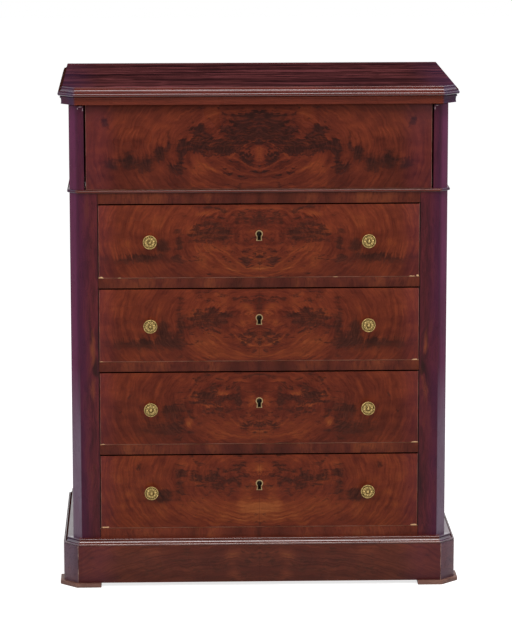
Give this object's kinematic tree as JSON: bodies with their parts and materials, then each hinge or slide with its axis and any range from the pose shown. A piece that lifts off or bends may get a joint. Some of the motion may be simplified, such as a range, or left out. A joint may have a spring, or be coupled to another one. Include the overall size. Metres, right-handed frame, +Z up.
{
  "type": "washstand chest of drawers",
  "caption": "Tall mahogany washstand chest with drawers, canted corners, a plinth and a hinged lid that lifts with its frieze panel over a marble-lined wash compartment.",
  "frame": {"origin": "on the floor, under the middle of the whole chest's width and depth", "axes": "+Z up, the drawer fronts face -Y, +X to the right of someone facing the drawers"},
  "size_m": [0.8926, 0.5292, 1.1205],
  "materials": {
    "mahogany_veneer": "french polished crotch veneer",
    "solid_mahogany": "french polished",
    "pine": "planed, unfinished",
    "brass": "cast and aged",
    "iron": "wrought, oiled",
    "marble": "honed"
  },
  "bodies": {
    "case": {"side_panels": "mahogany_veneer", "corner_stiles": "solid_mahogany", "cheek_posts": "solid_mahogany", "top_rail": "mahogany_veneer", "divider_rails": "mahogany_veneer", "bottom_rail": "mahogany_veneer", "drawer_runners": "pine", "drawer_guides": "pine", "drawer_stops": "pine", "back_boards": "pine", "bottom_board": "pine", "deck_board": "pine", "marble_slab": "marble", "bead_moulding": "solid_mahogany", "plinth_boards": "mahogany_veneer", "plinth_moulding": "solid_mahogany", "foot_pads": "solid_mahogany", "hinge_rail": "pine", "hinge_case_leaves": "brass", "hinge_pins": "brass", "hinge_case_screws": "brass"},
    "lid": {"lid_board": "solid_mahogany", "lid_frame": "pine", "lid_moulding": "solid_mahogany", "frieze_panel": "mahogany_veneer", "frieze_blocks": "pine", "hinge_lid_leaves": "brass", "hinge_lid_screws": "brass"},
    "drawer_1": {"drawer_1_front": "mahogany_veneer", "drawer_1_sides": "pine", "drawer_1_back": "pine", "drawer_1_bottom": "pine", "drawer_1_knobs": "brass", "drawer_1_escutcheon": "brass", "drawer_1_lock": "iron"},
    "drawer_1_lock_bolt": {"drawer_1_bolt": "brass"},
    "drawer_2": {"drawer_2_front": "mahogany_veneer", "drawer_2_sides": "pine", "drawer_2_back": "pine", "drawer_2_bottom": "pine", "drawer_2_knobs": "brass", "drawer_2_escutcheon": "brass", "drawer_2_lock": "iron"},
    "drawer_2_lock_bolt": {"drawer_2_bolt": "brass"},
    "drawer_3": {"drawer_3_front": "mahogany_veneer", "drawer_3_sides": "pine", "drawer_3_back": "pine", "drawer_3_bottom": "pine", "drawer_3_knobs": "brass", "drawer_3_escutcheon": "brass", "drawer_3_lock": "iron"},
    "drawer_3_lock_bolt": {"drawer_3_bolt": "brass"},
    "drawer_4": {"drawer_4_front": "mahogany_veneer", "drawer_4_sides": "pine", "drawer_4_back": "pine", "drawer_4_bottom": "pine", "drawer_4_knobs": "brass", "drawer_4_escutcheon": "brass", "drawer_4_lock": "iron"},
    "drawer_4_lock_bolt": {"drawer_4_bolt": "brass"}
  },
  "joints": [
    {"name": "lid_hinge", "type": "hinge", "parent": "case", "child": "lid", "pos_m": [0, 0.24765, 1.0825], "axis": [-1, 0, 0], "range_deg": [0, 98]},
    {"name": "drawer_1_slide", "type": "slide", "parent": "case", "child": "drawer_1", "axis": [0, -1, 0], "range_m": [0, 0.36]},
    {"name": "drawer_1_bolt_slide", "type": "slide", "parent": "drawer_1", "child": "drawer_1_lock_bolt", "axis": [0, 0, 1], "range_m": [0, 0.007]},
    {"name": "drawer_2_slide", "type": "slide", "parent": "case", "child": "drawer_2", "axis": [0, -1, 0], "range_m": [0, 0.36]},
    {"name": "drawer_2_bolt_slide", "type": "slide", "parent": "drawer_2", "child": "drawer_2_lock_bolt", "axis": [0, 0, 1], "range_m": [0, 0.007]},
    {"name": "drawer_3_slide", "type": "slide", "parent": "case", "child": "drawer_3", "axis": [0, -1, 0], "range_m": [0, 0.36]},
    {"name": "drawer_3_bolt_slide", "type": "slide", "parent": "drawer_3", "child": "drawer_3_lock_bolt", "axis": [0, 0, 1], "range_m": [0, 0.007]},
    {"name": "drawer_4_slide", "type": "slide", "parent": "case", "child": "drawer_4", "axis": [0, -1, 0], "range_m": [0, 0.36]},
    {"name": "drawer_4_bolt_slide", "type": "slide", "parent": "drawer_4", "child": "drawer_4_lock_bolt", "axis": [0, 0, 1], "range_m": [0, 0.007]}
  ]
}
